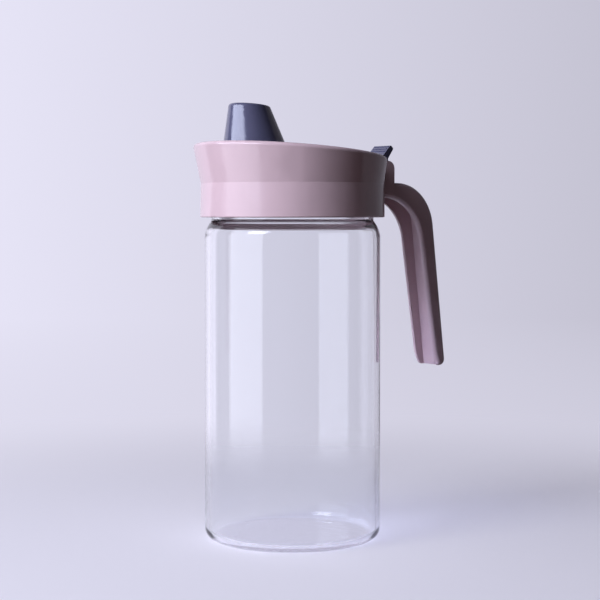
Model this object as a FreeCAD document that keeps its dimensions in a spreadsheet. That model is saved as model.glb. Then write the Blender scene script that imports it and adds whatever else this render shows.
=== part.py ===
import FreeCAD, Part
import math
import os
import re
import Sketcher

# An oil jar: a clear glass jar, a screw-down lid moulded in one piece with its handle, a pouring
# insert under the lid, and a thumb lever whose far end is the cap over the spout.
# Millimetres, +Z up. The origin is on the jar's axis at its foot. The handle is on +X and the
# spout on -X, and the XZ plane is the plane of symmetry of the lid, the insert and the lever.

# Each size that can be set by itself. Heights not named here follow from these.
SIZES = {
    # the glass jar
    "JarRadius": 40.0,
    "GlassWall": 2.2,
    "FloorThickness": 2.4,
    "FootRounding": 5.0,
    "FloorRounding": 3.4,
    "BodyHeight": 140.8,
    "ShoulderRise": 4.0,
    "ShoulderRounding": 13.0,
    "NeckRounding": 1.2,
    "ShoulderInset": 3.1,
    "NeckHeight": 14.7,
    "MouthRounding": 0.8,
    "ShoulderInsideDrop": 0.8,
    "ShoulderInsideRounding": 6.0,
    "NeckInsideRise": 0.2,
    "NeckInsideRounding": 2.0,
    "NeckRing": 1.0,
    # the lid's skirt, which goes round the neck
    "SkirtGap": 1.5,
    "NeckClearance": 0.3,
    "SkirtThickness": 4.8,
    "SkirtFootWall": 2.2,
    "SkirtRounding": 0.6,
    "SkirtDraft": 0.25,
    "LeadInHeight": 4.0,
    # the lid's collar, which flares from a waist up to the tilted rim
    "WaistLift": 0.2,
    "CollarWall": 2.0,
    "CollarRise": 14.7,
    "CollarFlare": 2.6,
    "RimShift": 1.36,
    "RimTilt": 4.8,
    "RimThickness": 2.6,
    "RimRounding": 1.5,
    "RimInnerRounding": 0.6,
    "LedgeWidth": 1.6,
    "LedgeThickness": 1.5,
    # the handle: an arch and a straight leg, a channel open towards the jar. How far it, its root
    # and the ears reach out is counted from the lid's waist.
    "HandleWidth": 16.0,
    "HandleTopLift": 0.8,
    "HandleReach": 36.65,
    "HandleLeg": 88.4,
    "LegLean": 6.8,
    "LegInnerLean": 8.8,
    "ArchDepth": 7.0,
    "ArchThickness": 8.8,
    "ArchRadius": 22.3,
    "ArchInnerRadius": 23.0,
    "RootReach": 6.95,
    "HandleWall": 2.6,
    "TipFlat": 5.0,
    "TipRise": 6.2,
    "TipRounding": 3.0,
    "TipInnerRounding": 2.2,
    "TipBendRounding": 9.0,
    "HandleRounding": 1.9,
    # the two ears that carry the lever
    "EarReach": 13.05,
    "EarRadius": 3.7,
    "EarCrownShift": 1.0,
    "EarSlope": 4.2,
    "EarFootDrop": 5.25,
    "EarProud": 0.3,
    "EarWall": 2.2,
    # the pouring insert, a round deck with a leaning spout that stands inside the cap
    "DeckThickness": 2.0,
    "DeckClearance": 0.2,
    "SpoutShift": 0.3,
    "SpoutFootGap": 4.95,
    "SpoutTopGap": 1.1,
    "SpoutWall": 1.4,
    # the cap at the lever's far end, a hollow leaning cone
    "CapLift": 3.0,
    "CapHeight": 31.9,
    "CapBowlGap": 2.7,
    "CapFootRadius": 18.05,
    "CapLean": 5.45,
    "CapTopRadius": 9.2,
    "CapWall": 1.7,
    "CapTopWall": 1.8,
    "CapRounding": 1.3,
    "CapGap": 1.2,
    # the lever's arm and thumb tab
    "LeverSideGap": 0.3,
    "LeverSeatGap": 0.3,
    "ArmThickness": 2.3,
    "ArmRibHeight": 2.7,
    "ArmRibWall": 1.8,
    "ArmSolidLength": 3.95,
    "ArmRibGap": 2.39,
    "HubRadius": 3.0,
    "PinRadius": 1.4,
    "PinLength": 1.4,
    "PinGap": 0.05,
    "TabLean": 43.0,
    "TabLength": 7.0,
    "TabThickness": 2.5,
    "TabRounding": 0.8,
    "TabRootShift": -1.3,
    "TabFootRounding": 1.25,
    "TabHeelShift": 1.8,
    "TabHeelRise": 0.77,
    "TabRibPitch": 1.5,
    "TabRibHeight": 0.3,
    "TabRibWidth": 0.6,
}
TAB_RIBS = 3

# How near two coordinates are to count as the same, and the size that every round and every held
# distance starts from, before the sheet's own value reaches it.
TINY = 1e-4
FIRST_SIZE = 0.1

# Places that follow from the sizes, written as the sheet's own arithmetic: first how far out from
# the jar's axis, from the glass outwards, then how high, from the foot up.
NECK_RADIUS = "(JarRadius - ShoulderInset)"
BORE = f"({NECK_RADIUS} + NeckClearance)"
SKIRT_RADIUS = f"({BORE} + SkirtThickness)"
SKIRT_INSIDE = f"({SKIRT_RADIUS} - SkirtFootWall)"
WAIST_RADIUS = f"({SKIRT_RADIUS} - SkirtDraft)"
LID_WALL = f"({WAIST_RADIUS} - CollarWall / 2)"
RIM_RADIUS = f"({WAIST_RADIUS} + CollarFlare)"
RIM_REACH = f"({RIM_RADIUS} - RimShift)"
HANDLE_REACH = f"({WAIST_RADIUS} + HandleReach)"
HANDLE_ROOT = f"({WAIST_RADIUS} + RootReach)"
EAR_REACH = f"({WAIST_RADIUS} + EarReach)"
PIVOT_ACROSS = f"({EAR_REACH} - EarRadius)"
CAP_FOOT_SHIFT = f"({WAIST_RADIUS} - CollarWall - CapBowlGap - CapFootRadius)"
CAP_TOP_SHIFT = f"({CAP_FOOT_SHIFT} + CapLean)"
SPOUT_FOOT_SHIFT = f"({CAP_FOOT_SHIFT} + SpoutShift)"
SPOUT_FOOT_RADIUS = "(CapFootRadius - CapWall - SpoutFootGap)"
SPOUT_TOP_RADIUS = "(CapTopRadius - CapWall - SpoutTopGap)"
SPOUT_TOP_SHIFT = f"({CAP_TOP_SHIFT} - CapLean * (CapTopWall + CapGap) / CapHeight)"
ARM_RIB_END = f"({RIM_REACH} - RimThickness - ArmRibGap)"
ARM_GAP_START = f"(CapFootRadius - {CAP_FOOT_SHIFT} + ArmSolidLength)"

NECK_FOOT = "(BodyHeight + ShoulderRise)"
MOUTH = f"({NECK_FOOT} + NeckHeight)"
DECK_TOP = f"({MOUTH} + DeckThickness)"
LEDGE_TOP = f"({DECK_TOP} + LedgeThickness)"
SKIRT_FOOT = f"({NECK_FOOT} + SkirtGap)"
WAIST = f"({DECK_TOP} + WaistLift)"
RIM = f"({WAIST} + CollarRise)"
RIM_LOW = f"({RIM} - {RIM_REACH} * sin(RimTilt))"
HANDLE_TOP = f"({WAIST} + HandleTopLift)"
HANDLE_TIP = f"({HANDLE_TOP} - HandleLeg)"
HANDLE_UNDER = f"({HANDLE_TOP} - ArchDepth)"
PIVOT_UP = f"({RIM_LOW} - EarRadius)"
CAP_FOOT = f"({DECK_TOP} + CapLift)"
CAP_TOP = f"({CAP_FOOT} + CapHeight)"
SPOUT_TOP = f"({CAP_TOP} - CapTopWall - CapGap)"
ARM_UNDER = f"({RIM_LOW} + LeverSeatGap)"
ARM_TOP = f"({ARM_UNDER} + ArmThickness)"

# Widths across the plane of symmetry.
CHANNEL_WIDTH = "(HandleWidth - 2 * HandleWall)"
EAR_SPAN = "(HandleWidth + 2 * EarProud)"
SLOT_WIDTH = f"({EAR_SPAN} - 2 * EarWall)"
LEVER_WIDTH = f"({SLOT_WIDTH} - 2 * LeverSideGap)"

doc = FreeCAD.newDocument("oil_jar")
sheet = doc.addObject("Spreadsheet::Sheet", "Sizes")
for row, (alias, number) in enumerate(SIZES.items(), start=1):
    sheet.set(f"A{row}", alias)
    sheet.set(f"B{row}", str(number))
    sheet.setAlias(f"B{row}", alias)
doc.recompute()


def sized(text):
    """Arithmetic on aliases, with each alias written as a cell of the sheet."""
    return re.sub(r"\b[A-Z][A-Za-z]+", lambda word: "Sizes." + word.group(), text)


def bind(thing, **properties):
    """Tie a feature's properties to the sheet."""
    for name, text in properties.items():
        thing.setExpression(name, sized(text))


def new_body(label):
    body = doc.addObject("PartDesign::Body", label)
    body.Label = label
    return body


def origin_plane(body, role):
    return next(item for item in body.Origin.OriginFeatures if item.Role == role)


def new_sketch(body, role, name):
    sketch = body.newObject("Sketcher::SketchObject", name)
    sketch.AttachmentSupport = [(origin_plane(body, role), "")]
    sketch.MapMode = "FlatFace"
    return sketch


def outline(body, role, name, corners):
    """A closed outline. Each corner has a name, a place (across, up) and, where it is round, a radius."""
    sketch = new_sketch(body, role, name)
    count = len(corners)
    turns = [2 * math.pi * corner / count for corner in range(count)]
    ring = [FreeCAD.Vector(math.cos(turn), math.sin(turn), 0) for turn in turns]
    for corner in range(count):
        sketch.addGeometry(Part.LineSegment(ring[corner], ring[(corner + 1) % count]), False)
    for corner in range(count):
        sketch.addConstraint(Sketcher.Constraint("Coincident", corner, 2, (corner + 1) % count, 1))
    for corner, (across, up, *_) in enumerate(corners.values()):
        for kind, text in (("DistanceX", across), ("DistanceY", up)):
            hold(sketch, text, kind, -1, 1, corner, 1)
    doc.recompute()
    for corner, (across, up, *radius) in enumerate(corners.values()):
        if radius:
            sketch.fillet((corner - 1) % count, 2, FIRST_SIZE, True, True)
            arc = max(index for index, shape in enumerate(sketch.Geometry)
                      if isinstance(shape, Part.ArcOfCircle))
            hold(sketch, radius[0], "Radius", arc)
            doc.recompute()
    return sketch


def hold(sketch, text, kind, *places):
    """Add a constraint to a sketch and tie its value to the sheet."""
    index = sketch.addConstraint(Sketcher.Constraint(kind, *places, FIRST_SIZE))
    sketch.setExpression(f"Constraints[{index}]", sized(text))


def circle(body, name, across, up, radius, tilt="0"):
    """A circle across the jar at height up, tilted about Y so that its -X side is the high one."""
    sketch = new_sketch(body, "XY_Plane", name)
    start = FreeCAD.Vector(0, 0, 0)
    sketch.addGeometry(Part.Circle(start, FreeCAD.Vector(0, 0, 1), FIRST_SIZE), False)
    sketch.addConstraint(Sketcher.Constraint("Coincident", 0, 3, -1, 1))
    hold(sketch, radius, "Radius", 0)
    sketch.AttachmentOffset = FreeCAD.Placement(start, FreeCAD.Rotation(FreeCAD.Vector(0, 1, 0), 1))
    for name, text in (("Rotation.Angle", tilt), ("Base.x", across), ("Base.z", up)):
        sketch.setExpression(f"AttachmentOffset.{name}", sized(text))
    return sketch


def disc(body, name, across, up, radius):
    """A circle seen from the side, on the plane of symmetry."""
    sketch = new_sketch(body, "XZ_Plane", name)
    up_axis = FreeCAD.Vector(0, 0, 1)
    sketch.addGeometry(Part.Circle(FreeCAD.Vector(0, 0, 0), up_axis, FIRST_SIZE), False)
    hold(sketch, radius, "Radius", 0)
    hold(sketch, across, "DistanceX", -1, 1, 0, 3)
    hold(sketch, up, "DistanceY", -1, 1, 0, 3)
    return sketch


def turned(body, name, sketch, cut=False):
    """A sketch turned once round the jar's axis."""
    feature = body.newObject("PartDesign::Groove" if cut else "PartDesign::Revolution", name)
    feature.Profile = sketch
    feature.ReferenceAxis = (sketch, ["V_Axis"])
    feature.Angle = 360
    doc.recompute()
    return feature


def widened(body, name, sketch, width, cut=False):
    """A side outline given its width, half to each side of the plane of symmetry."""
    feature = body.newObject("PartDesign::Pocket" if cut else "PartDesign::Pad", name)
    feature.Profile = sketch
    feature.Midplane = True
    bind(feature, Length=width)
    doc.recompute()
    return feature


def lofted(body, name, first, last, cut=False):
    feature = body.newObject("PartDesign::SubtractiveLoft" if cut else "PartDesign::AdditiveLoft", name)
    feature.Profile = first
    feature.Sections = [last]
    doc.recompute()
    return feature


def rounded(body, name, radius, test):
    """Round each edge of the body's latest feature that passes a test on its box and the body's."""
    base = body.Tip
    numbers = [number for number, edge in enumerate(base.Shape.Edges, start=1)
               if test(edge.BoundBox, base.Shape.BoundBox)]
    feature = body.newObject("PartDesign::Fillet", name)
    feature.Base = (base, [f"Edge{number}" for number in numbers])
    bind(feature, Radius=radius)
    doc.recompute()
    return feature


def make_glass_jar():
    """A drawn glass tube with a flat floor, a short shoulder and a neck with a thick ring at its foot."""
    body = new_body("glass_jar")
    sketch = outline(body, "XZ_Plane", "GlassSection", {
        "foot": ("0", "0"),
        "foot_corner": ("JarRadius", "0", "FootRounding"),
        "shoulder": ("JarRadius", "BodyHeight", "ShoulderRounding"),
        "neck_foot": (NECK_RADIUS, NECK_FOOT, "NeckRounding"),
        "mouth_outside": (NECK_RADIUS, MOUTH, "MouthRounding"),
        "mouth_inside": (f"{NECK_RADIUS} - GlassWall", MOUTH, "MouthRounding"),
        "neck_inside": (f"{NECK_RADIUS} - GlassWall - NeckRing", f"{NECK_FOOT} + NeckInsideRise",
                        "NeckInsideRounding"),
        "shoulder_inside": ("JarRadius - GlassWall", "BodyHeight - ShoulderInsideDrop",
                            "ShoulderInsideRounding"),
        "floor_corner": ("JarRadius - GlassWall", "FloorThickness", "FloorRounding"),
        "floor": ("0", "FloorThickness"),
    })
    turned(body, "Glass", sketch)


def add_handle(body):
    """The arch and the leg, still solid, rounded outside and at the tip."""
    tip_outside = f"({HANDLE_REACH} + HandleLeg * tan(LegLean))"
    bend_up = f"({HANDLE_TIP} + TipRise)"
    inner_reach = f"({HANDLE_REACH} - ArchThickness)"
    side = outline(body, "XZ_Plane", "HandleSide", {
        "root_top": (LID_WALL, HANDLE_TOP),
        "arch_top": (HANDLE_REACH, HANDLE_TOP, "ArchRadius"),
        "tip_outside": (tip_outside, HANDLE_TIP, "TipRounding"),
        "tip_inside": (f"{tip_outside} - TipFlat", HANDLE_TIP, "TipInnerRounding"),
        "tip_bend": (f"{inner_reach} + ({HANDLE_UNDER} - {bend_up}) * tan(LegInnerLean)", bend_up,
                     "TipBendRounding"),
        "arch_under": (inner_reach, HANDLE_UNDER, "ArchInnerRadius"),
        "root_under": (LID_WALL, HANDLE_UNDER),
    })
    widened(body, "Handle", side, "HandleWidth")
    rounded(body, "HandleEdges", "HandleRounding", top_edge)


def hollow_handle(body):
    """The channel along the handle, open towards the jar, and the solid root that closes its end."""
    channel_top = f"({HANDLE_TOP} - HandleWall)"
    channel_reach = f"({HANDLE_REACH} - HandleWall / cos(LegLean) + HandleWall * tan(LegLean))"
    channel_foot = f"({HANDLE_TIP} - TipRise)"
    leg_foot = f"({channel_reach} + ({channel_top} - {channel_foot}) * tan(LegLean))"
    channel = outline(body, "XZ_Plane", "ChannelSide", {
        "root_top": (HANDLE_ROOT, channel_top),
        "arch_top": (channel_reach, channel_top, "ArchRadius - HandleWall"),
        "leg_foot": (leg_foot, channel_foot),
        "root_foot": (HANDLE_ROOT, channel_foot),
    })
    widened(body, "Channel", channel, CHANNEL_WIDTH, cut=True)

    root = outline(body, "XZ_Plane", "RootSide", {
        "inside_top": (LID_WALL, f"{HANDLE_UNDER} + HandleWall"),
        "outside_top": (HANDLE_ROOT, f"{HANDLE_UNDER} + HandleWall"),
        "outside_foot": (HANDLE_ROOT, SKIRT_FOOT),
        "inside_foot": (LID_WALL, SKIRT_FOOT),
    })
    widened(body, "Root", root, "HandleWidth")


def top_edge(edge, whole):
    """Find the two long edges of the handle's level top. The rounding runs on from them to the tip."""
    lengthwise = edge.ZLength < TINY and edge.YLength < TINY
    return lengthwise and abs(edge.ZMax - whole.ZMax) < TINY


def add_ears(body):
    """Two upright ears over the root of the handle, with a slot between them and a pin hole in each."""
    ear_foot = f"({HANDLE_TOP} - EarFootDrop)"
    slot_reach = f"({EAR_REACH} + EarWall)"
    slot_top = f"({RIM_LOW} + EarWall)"
    ears = outline(body, "XZ_Plane", "EarSide", {
        "inside_foot": (LID_WALL, ear_foot),
        "outside_foot": (EAR_REACH, ear_foot),
        "outside_top": (EAR_REACH, RIM_LOW, "EarRadius"),
        "crown": (f"{PIVOT_ACROSS} - EarCrownShift", RIM_LOW, "EarRadius"),
        "inside_top": (LID_WALL, f"{RIM_LOW} - EarSlope"),
    })
    widened(body, "Ears", ears, EAR_SPAN)
    slot = outline(body, "XZ_Plane", "SlotSide", {
        "inside_foot": (LID_WALL, HANDLE_TOP),
        "outside_foot": (slot_reach, HANDLE_TOP),
        "outside_top": (slot_reach, slot_top),
        "inside_top": (LID_WALL, slot_top),
    })
    widened(body, "EarSlot", slot, SLOT_WIDTH, cut=True)
    holes = disc(body, "PinHoles", PIVOT_ACROSS, PIVOT_UP, "PinRadius + PinGap")
    widened(body, "PinHole", holes, f"{SLOT_WIDTH} + 2 * PinLength", cut=True)


def make_lid():
    """The screw-down lid: skirt, flared collar, handle and ears in one moulding."""
    body = new_body("lid")
    add_handle(body)
    add_ears(body)
    hollow_handle(body)

    skirt = outline(body, "XZ_Plane", "SkirtSection", {
        "axis_foot": ("0", SKIRT_FOOT),
        "foot": (SKIRT_RADIUS, SKIRT_FOOT, "SkirtRounding"),
        "waist": (WAIST_RADIUS, WAIST),
        "axis_waist": ("0", WAIST),
    })
    turned(body, "Skirt", skirt)
    rim = circle(body, "CollarRim", "-RimShift", RIM, RIM_RADIUS, "RimTilt")
    lofted(body, "Collar", circle(body, "CollarFoot", "0", WAIST, WAIST_RADIUS), rim)
    inner_rim = circle(body, "BowlRim", "-RimShift", RIM, f"{RIM_RADIUS} - RimThickness", "RimTilt")
    bowl_foot = circle(body, "BowlFoot", "0", LEDGE_TOP, f"{WAIST_RADIUS} - CollarWall")
    lofted(body, "Bowl", bowl_foot, inner_rim, cut=True)
    bore = outline(body, "XZ_Plane", "BoreSection", {
        "axis_foot": ("0", f"{SKIRT_FOOT} - LeadInHeight"),
        "foot": (SKIRT_INSIDE, f"{SKIRT_FOOT} - LeadInHeight"),
        "lead_in": (SKIRT_INSIDE, f"{SKIRT_FOOT} + LeadInHeight"),
        "bore_foot": (BORE, f"{SKIRT_FOOT} + LeadInHeight"),
        "bore_top": (BORE, DECK_TOP),
        "ledge_under": (f"{BORE} - LedgeWidth", DECK_TOP),
        "ledge_top": (f"{BORE} - LedgeWidth", f"{LEDGE_TOP} + LedgeThickness"),
        "axis_top": ("0", f"{LEDGE_TOP} + LedgeThickness"),
    })
    turned(body, "Bore", bore, cut=True)
    rounded(body, "RimEdge", "RimRounding", edge_of(rim))
    rounded(body, "RimInnerEdge", "RimInnerRounding", edge_of(inner_rim))


def edge_of(tilted_circle):
    """A test for the round edge that a tilted circle's loft leaves."""
    radius = tilted_circle.Geometry[0].Radius
    rise = 2 * radius * math.sin(math.radians(SIZES["RimTilt"]))
    return lambda edge, whole: abs(edge.ZLength - rise) < TINY and abs(edge.YLength - 2 * radius) < TINY


def make_insert():
    """The pouring insert: a deck that lies on the jar's mouth, and a spout leaning to -X."""
    body = new_body("pour_insert")
    deck = outline(body, "XZ_Plane", "DeckSection", {
        "axis_under": ("0", MOUTH),
        "under": (f"{BORE} - DeckClearance", MOUTH),
        "top": (f"{BORE} - DeckClearance", DECK_TOP),
        "axis_top": ("0", DECK_TOP),
    })
    turned(body, "Deck", deck)
    lofted(body, "Spout",
           circle(body, "SpoutFoot", f"-{SPOUT_FOOT_SHIFT}", MOUTH, SPOUT_FOOT_RADIUS),
           circle(body, "SpoutMouth", f"-{SPOUT_TOP_SHIFT}", SPOUT_TOP, SPOUT_TOP_RADIUS, "RimTilt"))
    foot_bore = f"{SPOUT_FOOT_RADIUS} - SpoutWall"
    mouth_bore = f"{SPOUT_TOP_RADIUS} - SpoutWall"
    lofted(body, "SpoutBore",
           circle(body, "BoreFoot", f"-{SPOUT_FOOT_SHIFT}", MOUTH, foot_bore),
           circle(body, "BoreMouth", f"-{SPOUT_TOP_SHIFT}", SPOUT_TOP, mouth_bore, "RimTilt"), cut=True)


def make_lever():
    """The thumb lever: tab, hub and pins, an arm over the low side of the rim, and the spout's cap."""
    body = new_body("lever")
    top_across = f"({PIVOT_ACROSS} + TabRootShift)"
    lean_across = "TabLength * sin(TabLean)"
    lean_up = "TabLength * cos(TabLean)"
    thick_across = "TabThickness * cos(TabLean)"
    thick_up = "TabThickness * sin(TabLean)"
    arm = outline(body, "XZ_Plane", "ArmSide", {
        "cap_end_top": (f"-{CAP_FOOT_SHIFT}", ARM_TOP),
        "tab_foot": (top_across, ARM_TOP, "TabFootRounding"),
        "tab_top": (f"{top_across} + {lean_across}", f"{ARM_TOP} + {lean_up}", "TabRounding"),
        "tab_back": (f"{top_across} + {lean_across} + {thick_across}",
                     f"{ARM_TOP} + {lean_up} - {thick_up}", "TabRounding"),
        "tab_root": (f"{PIVOT_ACROSS} + TabHeelShift", f"{ARM_UNDER} + TabHeelRise"),
        "hub_outside": (f"{PIVOT_ACROSS} + HubRadius", PIVOT_UP),
        "hub_inside": (f"{PIVOT_ACROSS} - HubRadius", PIVOT_UP),
        "hub_top": (f"{PIVOT_ACROSS} - HubRadius", ARM_UNDER),
        "over_rim": (ARM_RIB_END, ARM_UNDER),
        "rib_end": (f"{ARM_RIB_END} - ArmRibHeight", f"{ARM_UNDER} - ArmRibHeight"),
        "cap_end_under": (f"-{CAP_FOOT_SHIFT}", f"{ARM_UNDER} - ArmRibHeight"),
    })
    widened(body, "Arm", arm, LEVER_WIDTH)
    widened(body, "Hub", disc(body, "HubSide", PIVOT_ACROSS, PIVOT_UP, "HubRadius"), LEVER_WIDTH)
    pins = disc(body, "PinSide", PIVOT_ACROSS, PIVOT_UP, "PinRadius")
    widened(body, "Pins", pins, f"{LEVER_WIDTH} + 2 * PinLength")
    ribs = outline(body, "XZ_Plane", "RibGap", {
        "inside_top": (ARM_GAP_START, ARM_UNDER),
        "outside_top": (ARM_RIB_END, ARM_UNDER),
        "outside_under": (ARM_RIB_END, f"{ARM_UNDER} - 2 * ArmRibHeight"),
        "inside_under": (ARM_GAP_START, f"{ARM_UNDER} - 2 * ArmRibHeight"),
    })
    widened(body, "ArmUnderside", ribs, f"{LEVER_WIDTH} - 2 * ArmRibWall", cut=True)
    for rib in range(TAB_RIBS):
        add_tab_rib(body, rib, top_across)
    cap_foot = circle(body, "CapFoot", f"-{CAP_FOOT_SHIFT}", CAP_FOOT, "CapFootRadius")
    cap_top = circle(body, "CapTop", f"-{CAP_TOP_SHIFT}", CAP_TOP, "CapTopRadius", "RimTilt")
    lofted(body, "Cap", cap_foot, cap_top)
    rounded(body, "CapEdge", "CapRounding", edge_of(cap_top))
    inside_across = f"-({CAP_TOP_SHIFT} - CapLean * CapTopWall / CapHeight)"
    inside_radius = "(CapTopRadius + (CapFootRadius - CapTopRadius) * CapTopWall / CapHeight - CapWall)"
    hollow_foot = circle(body, "HollowFoot", f"-{CAP_FOOT_SHIFT}", CAP_FOOT, "CapFootRadius - CapWall")
    under_top = f"({CAP_TOP} - CapTopWall)"
    hollow_top = circle(body, "HollowTop", inside_across, under_top, inside_radius, "RimTilt")
    lofted(body, "CapHollow", hollow_foot, hollow_top, cut=True)


def add_tab_rib(body, rib, top_across):
    """One of the low ribs across the tab's thumb side, counted down from its top edge."""
    along = f"(TabLength - TabRounding - TabRibPitch * {rib})"
    corners = {}
    for corner, (down, out) in enumerate([(0, -1), (0, 1), (1, 1), (1, -1)]):
        place = f"({along} - TabRibWidth * {down})"
        proud = f"(TabRibHeight * {out})"
        corners[f"corner_{corner}"] = (
            f"{top_across} + {place} * sin(TabLean) - {proud} * cos(TabLean)",
            f"{ARM_TOP} + {place} * cos(TabLean) + {proud} * sin(TabLean)")
    side = outline(body, "XZ_Plane", f"TabRibSide{rib}", corners)
    widened(body, f"TabRib{rib}", side, f"{LEVER_WIDTH} - 2 * TabRounding")


def check(shapes):
    """Stop before anything is written if a feature has failed or a shape isn't one sound solid."""
    for item in doc.Objects:
        if "Invalid" in item.State or "Error" in item.State:
            raise RuntimeError(f"{item.Label} failed: {item.State}")
    for label, shape in shapes.items():
        if shape.isNull() or not shape.isValid() or len(shape.Solids) != 1:
            raise RuntimeError(f"{label} isn't one sound solid")


make_glass_jar()
make_lid()
make_insert()
make_lever()
doc.recompute()
shapes = {item.Label: item.Shape for item in doc.Objects if item.TypeId == "PartDesign::Body"}
check(shapes)
os.makedirs("parts", exist_ok=True)
for label, shape in shapes.items():
    shape.exportStep(f"parts/{label}.step")
    print(f"{label}: {shape.Volume / 1000:.2f} cm3, {len(shape.Faces)} faces")
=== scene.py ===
# %% [markdown]
# # An oil jar of clear glass and moulded plastic
# This lesson dresses a finished construction model. The model holds four parts at their real size:
# the glass jar, the lid with its handle, the pouring insert and the thumb lever with its cap. Each
# cell makes one piece or one finish, says what it is on the real object, and prints what it made.
# All lengths are in metres, because that is Blender's unit, and small sizes are written as so many
# millimetres times MM.

# %% Load the construction model
import math

import bmesh
import bpy
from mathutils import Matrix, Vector


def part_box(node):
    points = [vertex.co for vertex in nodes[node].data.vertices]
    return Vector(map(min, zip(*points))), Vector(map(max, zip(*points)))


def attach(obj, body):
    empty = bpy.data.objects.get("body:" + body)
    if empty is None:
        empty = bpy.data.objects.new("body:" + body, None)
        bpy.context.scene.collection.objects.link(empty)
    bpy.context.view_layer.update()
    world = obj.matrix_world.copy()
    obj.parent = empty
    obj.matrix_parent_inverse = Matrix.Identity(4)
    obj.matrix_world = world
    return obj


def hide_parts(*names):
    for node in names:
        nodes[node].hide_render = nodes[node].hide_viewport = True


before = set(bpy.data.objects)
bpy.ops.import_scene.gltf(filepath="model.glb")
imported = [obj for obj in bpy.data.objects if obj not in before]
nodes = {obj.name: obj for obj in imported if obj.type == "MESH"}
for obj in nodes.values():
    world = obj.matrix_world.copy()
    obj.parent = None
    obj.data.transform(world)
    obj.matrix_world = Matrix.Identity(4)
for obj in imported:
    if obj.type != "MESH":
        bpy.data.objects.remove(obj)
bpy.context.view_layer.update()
MM = 0.001

# %% [markdown]
# ## Two helpers for materials
# A colour picker shows sRGB, and a shader wants linear light, so one function turns a hex value into
# linear numbers. The other adds a node to a tree, sets it up and links its inputs in one call: a
# tuple of a node and an output's name is a link, and anything else is a value.

# %% Colour and node helpers
def linear(hex_colour):
    """An sRGB hex value as linear red, green, blue and alpha."""
    parts = [int(hex_colour[i:i + 2], 16) / 255 for i in (1, 3, 5)]
    return (*(p / 12.92 if p <= 0.04045 else ((p + 0.055) / 1.055) ** 2.4 for p in parts), 1.0)


def add(tree, kind, settings=None, **inputs):
    """Add one node. Input names use _ for a space, and in0, in1 and so on pick an input by its place."""
    node = tree.nodes.new(kind)
    for name, value in (settings or {}).items():
        setattr(node, name, value)
    for name, value in inputs.items():
        place = name.removeprefix("in")
        socket = node.inputs[int(place)] if place.isdigit() else node.inputs[name.replace("_", " ")]
        if isinstance(value, tuple) and isinstance(value[0], bpy.types.Node):
            tree.links.new(value[0].outputs[value[1]], socket)
        else:
            socket.default_value = value
    return node


def new_material(name):
    """An empty material with its output node."""
    material = bpy.data.materials.new(name)
    material.use_nodes = True
    material.node_tree.nodes.clear()
    return material, material.node_tree, material.node_tree.nodes.new("ShaderNodeOutputMaterial")


print("the middle grey #808080 is", round(linear("#808080")[0], 3), "in linear light")

# %% [markdown]
# ## Borosilicate glass
# The jar is cut from a drawn tube, and its foot and shoulder are shaped in a flame. Such glass is
# clear and fire-polished, so it has no grain. What the eye reads is its gloss, the way its wall
# bends what is behind it, and slight waves, a few hundredths of a millimetre deep, 45 mm across and
# four times as long along the draw. The wall takes a little light away, which shows where one looks
# along it: a volume does that better than a tinted surface, because it follows the thickness. Light
# passes through glass, so its shadow is pale, and to shadow rays the surface is nearly clear.

# %% The glass material
GLASS_BODY = "#C8C0C8"
GLASS_ABSORPTION = 11.0
GLASS_TINT = "#FBFCFD"
GLASS_SHADOW = "#E9EAF0"
GLASS_IOR = 1.47
WAVE_PITCH = 45 * MM
WAVE_DEPTH = 0.4 * MM
WAVE_STRENGTH = 0.06
WAVE_ALONG_DRAW = 0.25


def make_glass_material():
    """Clear glass: a polished surface with slow waves, and a body that absorbs a little."""
    material, tree, output = new_material("borosilicate_glass_drawn")
    place = add(tree, "ShaderNodeTexCoord")
    stretched = add(tree, "ShaderNodeMapping", Vector=(place, "Object"), Scale=(1.0, 1.0, WAVE_ALONG_DRAW))
    waves = add(tree, "ShaderNodeTexNoise", Vector=(stretched, "Vector"), Scale=1 / WAVE_PITCH, Detail=1.0)
    bump = add(tree, "ShaderNodeBump", Height=(waves, "Fac"), Strength=WAVE_STRENGTH, Distance=WAVE_DEPTH)
    polished = add(tree, "ShaderNodeBsdfPrincipled", Base_Color=linear(GLASS_TINT), Roughness=0.0,
                   IOR=GLASS_IOR, Transmission_Weight=1.0, Normal=(bump, "Normal"))
    clear = add(tree, "ShaderNodeBsdfTransparent", Color=linear(GLASS_SHADOW))
    ray = add(tree, "ShaderNodeLightPath")
    both = add(tree, "ShaderNodeMixShader", Fac=(ray, "Is Shadow Ray"), in1=(polished, "BSDF"),
               in2=(clear, "BSDF"))
    tree.links.new(both.outputs[0], output.inputs["Surface"])
    inside = add(tree, "ShaderNodeVolumeAbsorption", Color=linear(GLASS_BODY), Density=GLASS_ABSORPTION)
    tree.links.new(inside.outputs[0], output.inputs["Volume"])
    return material


glass = make_glass_material()
print("made", glass.name)

# %% [markdown]
# ## Moulded polypropylene
# The lid, the insert and the lever are injection moulded in polypropylene with colour mixed in. A
# polished mould gives a gloss with a very slight orange peel about a millimetre across, and the
# thicker places sink a little, which bends broad reflections. Handling leaves fine scuffs that dull
# the gloss in patches. The same recipe serves both colours.

# %% The two plastics
DUSTY_PINK = "#CBB2B7"
SLATE_BLUE = "#525269"
PLASTIC_IOR = 1.49
TONE_SPREAD = 0.05
SINK_PITCH = 16 * MM
SINK_DEPTH = 0.3 * MM
SCUFF_PITCH = 3.0 * MM
SCUFF_RANGE = (0.35, 0.75)
PEEL_PITCH = 1.4 * MM
PEEL_DEPTH = 0.05 * MM
BUMP_STRENGTH = 0.25


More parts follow.
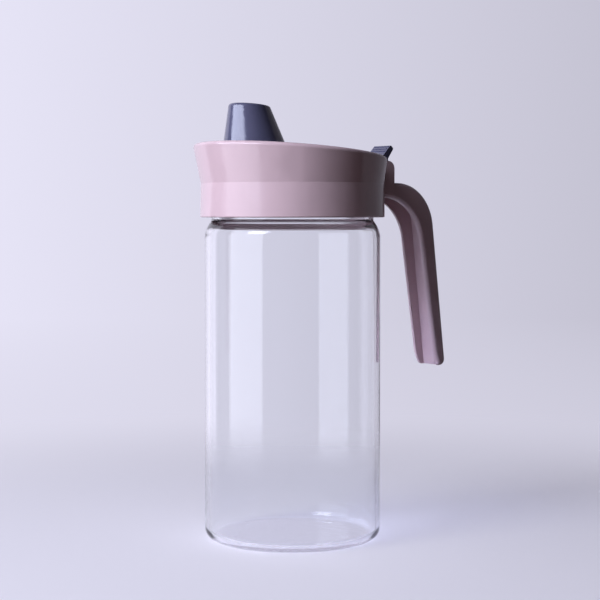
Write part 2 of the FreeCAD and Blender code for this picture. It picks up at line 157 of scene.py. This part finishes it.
def make_plastic(name, colour, gloss):
    """Injection-moulded plastic of one colour, with its gloss as a range of roughness."""
    material, tree, output = new_material(name)
    place = add(tree, "ShaderNodeTexCoord")
    cloud = add(tree, "ShaderNodeTexNoise", Vector=(place, "Object"), Scale=1 / SINK_PITCH, Detail=3.0)
    scuff = add(tree, "ShaderNodeTexNoise", Vector=(place, "Object"), Scale=1 / SCUFF_PITCH, Detail=6.0,
                Roughness=0.65)
    fine = add(tree, "ShaderNodeTexNoise", Vector=(place, "Object"), Scale=1 / PEEL_PITCH, Detail=2.0)
    base = linear(colour)
    lighter = tuple(min(1.0, part * (1 + TONE_SPREAD)) for part in base[:3]) + (1.0,)
    darker = tuple(part * (1 - TONE_SPREAD) for part in base[:3]) + (1.0,)
    tone = add(tree, "ShaderNodeMix", {"data_type": "RGBA"}, Factor=(cloud, "Fac"), in6=darker, in7=lighter)
    rough = add(tree, "ShaderNodeMapRange", Value=(scuff, "Fac"), From_Min=SCUFF_RANGE[0],
                From_Max=SCUFF_RANGE[1], To_Min=gloss[0], To_Max=gloss[1])
    sink = add(tree, "ShaderNodeBump", Height=(cloud, "Fac"), Strength=BUMP_STRENGTH, Distance=SINK_DEPTH)
    bump = add(tree, "ShaderNodeBump", Height=(fine, "Fac"), Strength=BUMP_STRENGTH, Distance=PEEL_DEPTH,
               Normal=(sink, "Normal"))
    plastic = add(tree, "ShaderNodeBsdfPrincipled", Base_Color=(tone, 2), Roughness=(rough, "Result"),
                  IOR=PLASTIC_IOR, Normal=(bump, "Normal"))
    tree.links.new(plastic.outputs[0], output.inputs["Surface"])
    return material


pink = make_plastic("polypropylene_dusty_pink_moulded", DUSTY_PINK, gloss=(0.14, 0.24))
slate = make_plastic("polypropylene_slate_blue_moulded", SLATE_BLUE, gloss=(0.12, 0.22))
print("made", pink.name, "and", slate.name)

# %% [markdown]
# ## The glass jar's outline
# The real jar is round, so its whole shape is one outline turned about the axis: up the outside,
# over the mouth and down the inside. A few corners and the radius of each are enough, and a helper
# puts the arcs in. The flame leaves the glass a little thicker in a ring at the neck's foot, and
# that ring is what draws the dark bands under the lid.

# %% Corners with arcs
ARC_STEPS = 10


def rounded_outline(corners, steps):
    """Points along an outline of (radius, height, rounding) corners, with arcs at the rounded ones."""
    points = []
    for index, (across, up, rounding) in enumerate(corners):
        corner = Vector((across, up))
        if not rounding or index in (0, len(corners) - 1):
            points.append(corner)
            continue
        back = (Vector(corners[index - 1][:2]) - corner).normalized()
        onward = (Vector(corners[index + 1][:2]) - corner).normalized()
        half = back.angle(onward) / 2
        start = corner + back * rounding / math.tan(half)
        centre = corner + (back + onward).normalized() * rounding / math.sin(half)
        sweep = math.pi - 2 * half
        side = 1 if back.cross(onward) < 0 else -1
        for step in range(steps + 1):
            turn = side * sweep * step / steps
            spoke = start - centre
            points.append(centre + Vector((spoke.x * math.cos(turn) - spoke.y * math.sin(turn),
                                           spoke.x * math.sin(turn) + spoke.y * math.cos(turn))))
    return points


# %% The jar's outline
GLASS_WALL = 2.2 * MM
GLASS_FLOOR = 2.4 * MM
FOOT_ROUNDING = 5.0 * MM
FLOOR_ROUNDING = 3.4 * MM
BODY_HEIGHT = 140.8 * MM
SHOULDER_RISE = 4.0 * MM
SHOULDER_ROUNDING = 13.0 * MM
SHOULDER_INSIDE = 140.0 * MM
SHOULDER_INSIDE_ROUNDING = 6.0 * MM
NECK_INSET = 3.1 * MM
NECK_ROUNDING = 1.2 * MM
NECK_RING = 1.0 * MM
NECK_FOOT_INSIDE = 145.0 * MM
NECK_INSIDE_ROUNDING = 2.0 * MM
MOUTH_ROUNDING = 0.8 * MM

glass_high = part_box("glass_jar")[1]
jar_radius = glass_high.x
mouth = glass_high.z
neck = jar_radius - NECK_INSET
outside = [(0, 0, 0), (jar_radius, 0, FOOT_ROUNDING), (jar_radius, BODY_HEIGHT, SHOULDER_ROUNDING),
           (neck, BODY_HEIGHT + SHOULDER_RISE, NECK_ROUNDING), (neck, mouth, MOUTH_ROUNDING)]
inside = [(neck - GLASS_WALL, mouth, MOUTH_ROUNDING),
          (neck - GLASS_WALL - NECK_RING, NECK_FOOT_INSIDE, NECK_INSIDE_ROUNDING),
          (jar_radius - GLASS_WALL, SHOULDER_INSIDE, SHOULDER_INSIDE_ROUNDING),
          (jar_radius - GLASS_WALL, GLASS_FLOOR, FLOOR_ROUNDING), (0, GLASS_FLOOR, 0)]
jar_outline = rounded_outline(outside + inside, ARC_STEPS)
print("the outline has", len(jar_outline), "points")

# %% [markdown]
# ## A lathe in Geometry Nodes
# Turning the outline is a rule, so nodes do it, as a lathe does. Every point of a grid takes its
# radius and height from the outline by its row, and its angle from its column. The last column
# meets the first, and the points on the axis fall together, so merging by distance closes the shape.

# %% The lathe's tree
def lathe_tree():
    """A tree that turns an outline, given as a chain of points, into a closed round shape."""
    tree = bpy.data.node_groups.new("Lathe", "GeometryNodeTree")
    face = tree.interface
    face.new_socket("Outline", in_out="INPUT", socket_type="NodeSocketGeometry")
    for name, kind in (("Outline Points", "NodeSocketInt"), ("Steps", "NodeSocketInt"),
                       ("Merge Distance", "NodeSocketFloat"), ("Finish", "NodeSocketMaterial")):
        face.new_socket(name, in_out="INPUT", socket_type=kind)
    face.new_socket("Geometry", in_out="OUTPUT", socket_type="NodeSocketGeometry")
    given = add(tree, "NodeGroupInput")
    columns = add(tree, "ShaderNodeMath", in0=(given, "Steps"), in1=1.0)
    grid = add(tree, "GeometryNodeMeshGrid", Vertices_X=(columns, 0), Vertices_Y=(given, "Outline Points"))
    index = add(tree, "GeometryNodeInputIndex")
    row = add(tree, "ShaderNodeMath", {"operation": "MODULO"}, in0=(index, 0), in1=(given, "Outline Points"))
    column = add(tree, "ShaderNodeMath", {"operation": "DIVIDE"}, in0=(index, 0),
                 in1=(given, "Outline Points"))
    whole = add(tree, "ShaderNodeMath", {"operation": "FLOOR"}, in0=(column, 0))
    share = add(tree, "ShaderNodeMath", {"operation": "DIVIDE"}, in0=(whole, 0), in1=(given, "Steps"))
    angle = add(tree, "ShaderNodeMath", {"operation": "MULTIPLY"}, in0=(share, 0), in1=2 * math.pi)
    place = add(tree, "GeometryNodeInputPosition")
    point = add(tree, "GeometryNodeSampleIndex", {"data_type": "FLOAT_VECTOR", "domain": "POINT"},
                Geometry=(given, "Outline"), Value=(place, 0), Index=(row, 0))
    turned = add(tree, "ShaderNodeVectorRotate", {"rotation_type": "Z_AXIS"}, Vector=(point, "Value"),
                 Angle=(angle, 0))
    placed = add(tree, "GeometryNodeSetPosition", Geometry=(grid, "Mesh"), Position=(turned, 0))
    merged = add(tree, "GeometryNodeMergeByDistance", Geometry=(placed, 0),
                 Distance=(given, "Merge Distance"))
    smooth = add(tree, "GeometryNodeSetShadeSmooth", Geometry=(merged, 0))
    real = add(tree, "GeometryNodeRealizeInstances", Geometry=(smooth, 0))
    finished = add(tree, "GeometryNodeSetMaterial", Geometry=(real, 0), Material=(given, "Finish"))
    result = tree.nodes.new("NodeGroupOutput")
    tree.links.new(finished.outputs[0], result.inputs[0])
    return tree


lathe = lathe_tree()
print("the lathe has", len(lathe.nodes), "nodes")

# %% From a tree to a plain mesh
def baked(source, tree, values, name):
    """Run a tree on a mesh object, keep the plain mesh it gives as a new object, and drop the source."""
    modifier = source.modifiers.new(tree.name, "NODES")
    modifier.node_group = tree
    for socket in tree.interface.items_tree:
        if socket.in_out == "INPUT" and socket.name in values:
            modifier[socket.identifier] = values[socket.name]
    bpy.context.view_layer.update()
    seen = source.evaluated_get(bpy.context.evaluated_depsgraph_get())
    mesh = bpy.data.meshes.new_from_object(seen)
    piece = bpy.data.objects.new(name, mesh)
    bpy.context.scene.collection.objects.link(piece)
    bpy.data.objects.remove(source)
    return piece


def outwards(piece):
    """Turn the faces of a closed mesh to point out, and print its size."""
    work = bmesh.new()
    work.from_mesh(piece.data)
    bmesh.ops.recalc_face_normals(work, faces=work.faces)
    if work.calc_volume(signed=True) < 0:
        bmesh.ops.reverse_faces(work, faces=work.faces)
    open_edges = sum(1 for edge in work.edges if not edge.is_manifold)
    print(piece.name, len(work.faces), "faces,", open_edges, "open edges,",
          round(work.calc_volume() / (10 * MM) ** 3, 2), "cm3")
    work.to_mesh(piece.data)
    work.free()


# %% Turn the jar
LATHE_STEPS = 192
MERGE_DISTANCE = 0.01 * MM


def make_glass_jar():
    """The jar, turned from its outline in the glass material."""
    chain = bpy.data.meshes.new("jar_outline")
    chain.from_pydata([(point.x, 0, point.y) for point in jar_outline],
                      [(i, i + 1) for i in range(len(jar_outline) - 1)], [])
    source = bpy.data.objects.new("jar_outline", chain)
    bpy.context.scene.collection.objects.link(source)
    jar = baked(source, lathe, {"Outline Points": len(jar_outline), "Steps": LATHE_STEPS,
                                "Merge Distance": MERGE_DISTANCE, "Finish": glass}, "clear_jar")
    outwards(jar)
    return jar


clear_jar = make_glass_jar()
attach(clear_jar, "jar")
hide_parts("glass_jar")

# %% [markdown]
# ## The plastic parts
# A moulded part has no knife edge: each corner of its mould has a small radius, which draws a thin
# bright line along every edge of the real thing. The construction model already has the right
# shapes, so there is nothing to model again. A copy of each part is merged into one closed mesh,
# its flat faces are joined, and a narrow bevel rounds its edges.

# %% Moulded copies of the construction parts
EDGE_ROUND = 0.3 * MM
EDGE_ANGLE = math.radians(38)
FLAT_ANGLE = math.radians(0.4)
WELD_DISTANCE = 0.002 * MM
CREASE_REACH = 0.01 * MM


def moulded(node, name, finish, crease=None):
    """A merged copy of a construction part with narrow rounded edges, and a crease at one height."""
    work = bmesh.new()
    work.from_mesh(nodes[node].data)
    bmesh.ops.remove_doubles(work, verts=work.verts, dist=WELD_DISTANCE)
    bmesh.ops.dissolve_limit(work, angle_limit=FLAT_ANGLE, verts=work.verts, edges=work.edges)
    for face in work.faces:
        face.smooth = True
    if crease is not None:
        for edge in work.edges:
            edge.smooth = not all(abs(end.co.z - crease) < CREASE_REACH for end in edge.verts)
    mesh = bpy.data.meshes.new(name)
    work.to_mesh(mesh)
    work.free()
    mesh.materials.append(finish)
    piece = bpy.data.objects.new(name, mesh)
    bpy.context.scene.collection.objects.link(piece)
    bevel = piece.modifiers.new("rounded_edges", "BEVEL")
    bevel.width = EDGE_ROUND
    bevel.segments = 2
    bevel.limit_method = "ANGLE"
    bevel.angle_limit = EDGE_ANGLE
    normals = piece.modifiers.new("face_weighted", "WEIGHTED_NORMAL")
    normals.keep_sharp = True
    print(name, len(mesh.polygons), "faces")
    return piece


# %% [markdown]
# ## The lid and its handle
# The lid is one moulding: a straight skirt that screws down over the neck, a collar that flares out
# above it to a tilted rim, and a hollow handle leg hung from an arch. Where the skirt meets the
# collar the wall changes direction by only a few degrees. Smooth shading would blend that turn
# away, so the edge round the waist is kept sharp.

# %% The lid
WAIST = 161.7 * MM
pink_lid = moulded("lid", "pink_lid", pink, crease=WAIST)
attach(pink_lid, "jar")
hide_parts("lid")

# %% [markdown]
# ## The pouring insert
# Inside the collar a flat deck carries the spout that the oil is poured through. It is moulded in
# the lid's own pink, and it shows when the cap is up.

# %% The insert
inner_spout = moulded("pour_insert", "inner_spout", pink)
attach(inner_spout, "jar")
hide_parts("pour_insert")

# %% [markdown]
# ## The thumb lever
# A ribbed tab behind the collar, an arm across the deck and the cap over the spout are one moulding
# in slate blue. It turns on two pins between the ears, so it rides on a body of its own.

# %% The lever
slate_lever = moulded("lever", "slate_lever", slate)
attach(slate_lever, "lever")
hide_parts("lever")

# %% [markdown]
# ## Directions round the jar
# The camera stands in front, 38 degrees round towards the spout, so the handle shows on the right.
# The stage, the lamps and the room are all placed by angles from the camera's side of the jar,
# because that is where their light is judged from.

# %% Directions
CAMERA_AZIMUTH = math.radians(-38)
UP = Vector((0, 0, 1))


def toward(azimuth):
    """A level direction out from the jar, at an angle in degrees round it from the camera's side."""
    turn = CAMERA_AZIMUTH + math.radians(azimuth)
    return Vector((math.sin(turn), -math.cos(turn), 0))


ahead = -toward(0)
aside = toward(90)
print("the camera looks along", [round(part, 2) for part in ahead])

# %% [markdown]
# ## Floor and backdrop
# Such a jar stands on a pale table in front of a pale wall. The wall reaches far to the left and
# ends on the right just outside the camera's view. Away from the jar both glow to the camera, in
# gloss and through glass, so that the background is pale, while near the jar the floor takes its
# shadow. The glow is painted light: it is painted brighter towards the left, the lamps' side, and in
# gloss it is painted darker towards the right, and with the wall's end that gives the gloss its lit
# left edge and its dark right side. Far from the jar the floor is left out of the gloss, so that the
# glass can mirror the low window right down to its foot. To diffuse light the floor is darker than
# it looks, so it throws little colour back up at the plastic.

# %% Sizes and tones of the stage, in metres
PAPER = "#D7D5E6"
PAPER_LIT = "#F0EDF2"
FLOOR_BOUNCE = "#5A4540"
FLOOR_HALF = 4.0
WALL_DISTANCE = 1.5
WALL_LEFT = 2.7
WALL_RIGHT = 0.47
WALL_DEPTH = 1.0
WALL_HEIGHT = 2.4
GLOW_START = 0.1
GLOW_END = 0.45
GLOW_NEAR = 0.45
# Painted light: how much brighter the glow is painted for each metre towards the left.
PAINTED_LEFT_GLOW = 0.4
MIRRORED_FLOOR = (0.16, 0.45)
# Painted reflection: where the glow is painted darker in gloss, and how dark it gets on the right.
PAINTED_GLOSS_SPAN = (-0.15, 0.25)
PAINTED_GLOSS_RIGHT = 0.1
print("floor", 2 * FLOOR_HALF, "m square, wall", WALL_LEFT + WALL_RIGHT, "m wide")

# %% The paper
def make_paper(name, reach, far_hidden):
    """Paper with a painted glow, brighter towards the left as far as reach goes and dimmer in gloss
    towards the right, which may hide from far reflections.
    """
    material, tree, output = new_material(name)
    ray = add(tree, "ShaderNodeLightPath")
    tone = add(tree, "ShaderNodeMix", {"data_type": "RGBA"}, Factor=(ray, "Is Diffuse Ray"),
               in6=linear(PAPER_LIT), in7=linear(FLOOR_BOUNCE))
    paper = add(tree, "ShaderNodeBsdfDiffuse", Color=(tone, 2))
    place = add(tree, "ShaderNodeNewGeometry")
    across = add(tree, "ShaderNodeVectorMath", {"operation": "DOT_PRODUCT"}, in0=(place, "Position"),
                 in1=tuple(aside))
    # Painted light: the glow is painted brighter towards the left, the lamps' side.
    level = add(tree, "ShaderNodeMapRange", Value=(across, "Value"), From_Min=-reach, From_Max=WALL_RIGHT,
                To_Min=1 + PAINTED_LEFT_GLOW * reach, To_Max=1 - PAINTED_LEFT_GLOW * WALL_RIGHT)
    glow = add(tree, "ShaderNodeEmission", Color=linear(PAPER), Strength=(level, 0))
    # Painted reflection: gloss sees the glow painted darker towards the right.
    painted_gloss_dimming = add(tree, "ShaderNodeMapRange", Value=(across, "Value"), From_Min=PAINTED_GLOSS_SPAN[0],
               From_Max=PAINTED_GLOSS_SPAN[1], To_Min=1.0, To_Max=PAINTED_GLOSS_RIGHT)
    painted_gloss_share = add(tree, "ShaderNodeMath", {"operation": "MULTIPLY"}, in0=(ray, "Is Glossy Ray"),
                   in1=(painted_gloss_dimming, 0))
    seen = add(tree, "ShaderNodeMath", {"operation": "MAXIMUM"}, in0=(ray, "Is Camera Ray"),
               in1=(painted_gloss_share, 0))
    seen = add(tree, "ShaderNodeMath", {"operation": "MAXIMUM"}, in0=(seen, 0),
               in1=(ray, "Is Transmission Ray"))
    distance = add(tree, "ShaderNodeVectorMath", {"operation": "LENGTH"}, in0=(place, "Position"))
    rise = add(tree, "ShaderNodeMapRange", {"interpolation_type": "SMOOTHSTEP"}, Value=(distance, "Value"),
               From_Min=GLOW_START, From_Max=GLOW_END, To_Min=GLOW_NEAR, To_Max=1.0)
    share = add(tree, "ShaderNodeMath", {"operation": "MULTIPLY"}, in0=(seen, 0), in1=(rise, 0))
    both = add(tree, "ShaderNodeMixShader", Fac=(share, 0), in1=(paper, 0), in2=(glow, 0))
    if far_hidden:
        far = add(tree, "ShaderNodeMapRange", {"interpolation_type": "SMOOTHSTEP"},
                  Value=(distance, "Value"), From_Min=MIRRORED_FLOOR[0], From_Max=MIRRORED_FLOOR[1],
                  To_Min=0.0, To_Max=1.0)
        hidden = add(tree, "ShaderNodeMath", {"operation": "MULTIPLY"}, in0=(far, 0),
                     in1=(ray, "Is Glossy Ray"))
        clear = add(tree, "ShaderNodeBsdfTransparent")
        both = add(tree, "ShaderNodeMixShader", Fac=(hidden, 0), in1=(both, 0), in2=(clear, 0))
    tree.links.new(both.outputs[0], output.inputs["Surface"])
    return material


# %% The floor and the wall
def stage_sheet(name, corners, material):
    """One flat sheet of the stage, which is no part of the object."""
    mesh = bpy.data.meshes.new(name)
    mesh.from_pydata(corners, [], [(0, 1, 2, 3)])
    mesh.materials.append(material)
    sheet = bpy.data.objects.new(name, mesh)
    bpy.context.scene.collection.objects.link(sheet)
    print("laid the", name)


stage_sheet("floor", [(ahead * a + aside * b) * FLOOR_HALF for a, b in ((-1, -1), (-1, 1), (1, 1), (1, -1))],
            make_paper("floor_paper", WALL_RIGHT, far_hidden=True))
left_end = ahead * WALL_DISTANCE - aside * WALL_LEFT
right_end = ahead * WALL_DISTANCE + aside * WALL_RIGHT
stage_sheet("wall", [left_end - UP * WALL_DEPTH, right_end - UP * WALL_DEPTH,
                     right_end + UP * WALL_HEIGHT, left_end + UP * WALL_HEIGHT],
            make_paper("wall_paper", WALL_LEFT, far_hidden=False))

# %% [markdown]
# ## Light
# The room has one bright side, on the left. Three soft lamps make it, each for one thing that the
# eye reads. The key lights the plastic and is left out of the gloss. The high window is seen only
# in the gloss of the plastic, where it is the bright stripe down the cap. The low window is tall
# and weak, and the glass mirrors it as two upright bands.

# %% A soft lamp
JAR_MIDDLE = 150 * MM * UP


def window(name, azimuth, elevation, distance, size, radiance, colour):
    """A soft light facing the jar, placed by its angles round the jar from the camera's direction."""
    light = bpy.data.lights.new(name, "AREA")
    light.shape = "RECTANGLE"
    light.size, light.size_y = size
    light.energy = radiance * math.pi * size[0] * size[1]
    light.color = linear(colour)[:3]
    lamp = bpy.data.objects.new(name, light)
    tip = math.radians(elevation)
    out = toward(azimuth) * math.cos(tip) + UP * math.sin(tip)
    lamp.location = JAR_MIDDLE + out * distance
    lamp.rotation_euler = (-out).to_track_quat("-Z", "Y").to_euler()
    lamp.visible_camera = False
    bpy.context.scene.collection.objects.link(lamp)
    print(name, round(light.energy, 1), "W at", distance, "m")
    return lamp


# %% The lamps
high_window = window("high_window", -65, 17, 1.1, (1.3, 0.36), 9.5, "#D8DFFA")
high_window.visible_diffuse = False
window("low_window", -64, 4, 0.8, (0.76, 1.0), 2.35, "#EAEEFC")
key = window("key", -50, 28, 1.3, (0.6, 0.6), 17.5, "#E2E6FA")
key.visible_glossy = False

# The glass stands in the high window's shade, so it mirrors only the soft low one.
shaded = bpy.data.collections.new("in_the_shade_of_the_high_window")
shaded.objects.link(clear_jar)
high_window.light_linking.receiver_collection = shaded
shaded.collection_objects[0].light_linking.link_state = "EXCLUDE"

# %% [markdown]
# ## The dim room
# What the lamps leave over is the room: pale to the camera and through glass, dim to everything
# else, and a little brighter on the lamps' side. Behind the jar, on the right, it also has one pale
# patch that only gloss sees. It lifts the lid's right edge off its shadow.

# %% The room
ROOM = "#C4C0D0"
ROOM_DARK = 0.035
ROOM_LIT = 0.5
ROOM_LIT_EDGE = (0.3, 1.0)
ROOM_LIT_RISE = 0.3
ROOM_BACK = 0.5
ROOM_BACK_EDGE = (0.73, 0.79)


def make_room():
    """The world: pale to the camera and through glass, dim elsewhere, brighter towards the lamps."""
    world = bpy.data.worlds.new("room")
    world.use_nodes = True
    tree = world.node_tree
    tree.nodes.clear()
    ray = add(tree, "ShaderNodeLightPath")
    seen = add(tree, "ShaderNodeMath", {"operation": "MAXIMUM"}, in0=(ray, "Is Camera Ray"),
               in1=(ray, "Is Transmission Ray"))
    place = add(tree, "ShaderNodeTexCoord")
    lit = add(tree, "ShaderNodeVectorMath", {"operation": "DOT_PRODUCT"}, in0=(place, "Generated"),
              in1=tuple(toward(-45) + UP * ROOM_LIT_RISE))
    level = add(tree, "ShaderNodeMapRange", {"interpolation_type": "SMOOTHSTEP"}, Value=(lit, "Value"),
                From_Min=ROOM_LIT_EDGE[0], From_Max=ROOM_LIT_EDGE[1], To_Min=ROOM_DARK, To_Max=ROOM_LIT)
    back = add(tree, "ShaderNodeVectorMath", {"operation": "DOT_PRODUCT"}, in0=(place, "Generated"),
               in1=tuple(toward(135)))
    back = add(tree, "ShaderNodeMapRange", Value=(back, "Value"), From_Min=ROOM_BACK_EDGE[0],
               From_Max=ROOM_BACK_EDGE[1], To_Min=0.0, To_Max=ROOM_BACK)
    back = add(tree, "ShaderNodeMath", {"operation": "MULTIPLY"}, in0=(back, 0), in1=(ray, "Is Glossy Ray"))
    level = add(tree, "ShaderNodeMath", in0=(level, 0), in1=(back, 0))
    dim = add(tree, "ShaderNodeBackground", Color=linear(ROOM), Strength=(level, 0))
    pale = add(tree, "ShaderNodeBackground", Color=linear(PAPER), Strength=1.0)
    both = add(tree, "ShaderNodeMixShader", Fac=(seen, 0), in1=(dim, 0), in2=(pale, 0))
    add(tree, "ShaderNodeOutputWorld", Surface=(both, 0))
    bpy.context.scene.world = world


make_room()
print("the room's light goes from", ROOM_DARK, "to", ROOM_LIT)

# %% [markdown]
# ## Camera
# A long lens from the jar's shoulder height, so upright edges stay upright. It looks a little down,
# and a small shift of the lens brings the foot into the frame.

# %% The camera
CAMERA_DISTANCE = 0.73
EYE_HEIGHT = 148.7 * MM
LENS = 96
SENSOR = 36
LENS_SHIFT = -0.0768
LOOK_DOWN = math.radians(1.5)
LOOK_ASIDE = math.radians(0.27)

lens = bpy.data.cameras.new("long_lens")
lens.lens = LENS
lens.sensor_width = SENSOR
lens.shift_y = LENS_SHIFT
camera = bpy.data.objects.new("camera", lens)
camera.location = toward(0) * CAMERA_DISTANCE + UP * EYE_HEIGHT
camera.rotation_euler = (math.pi / 2 - LOOK_DOWN, 0, CAMERA_AZIMUTH - LOOK_ASIDE)
bpy.context.scene.collection.objects.link(camera)
bpy.context.scene.camera = camera
bpy.context.scene.view_settings.view_transform = "Standard"
print("a", LENS, "mm lens,", CAMERA_DISTANCE, "m from the jar's axis")
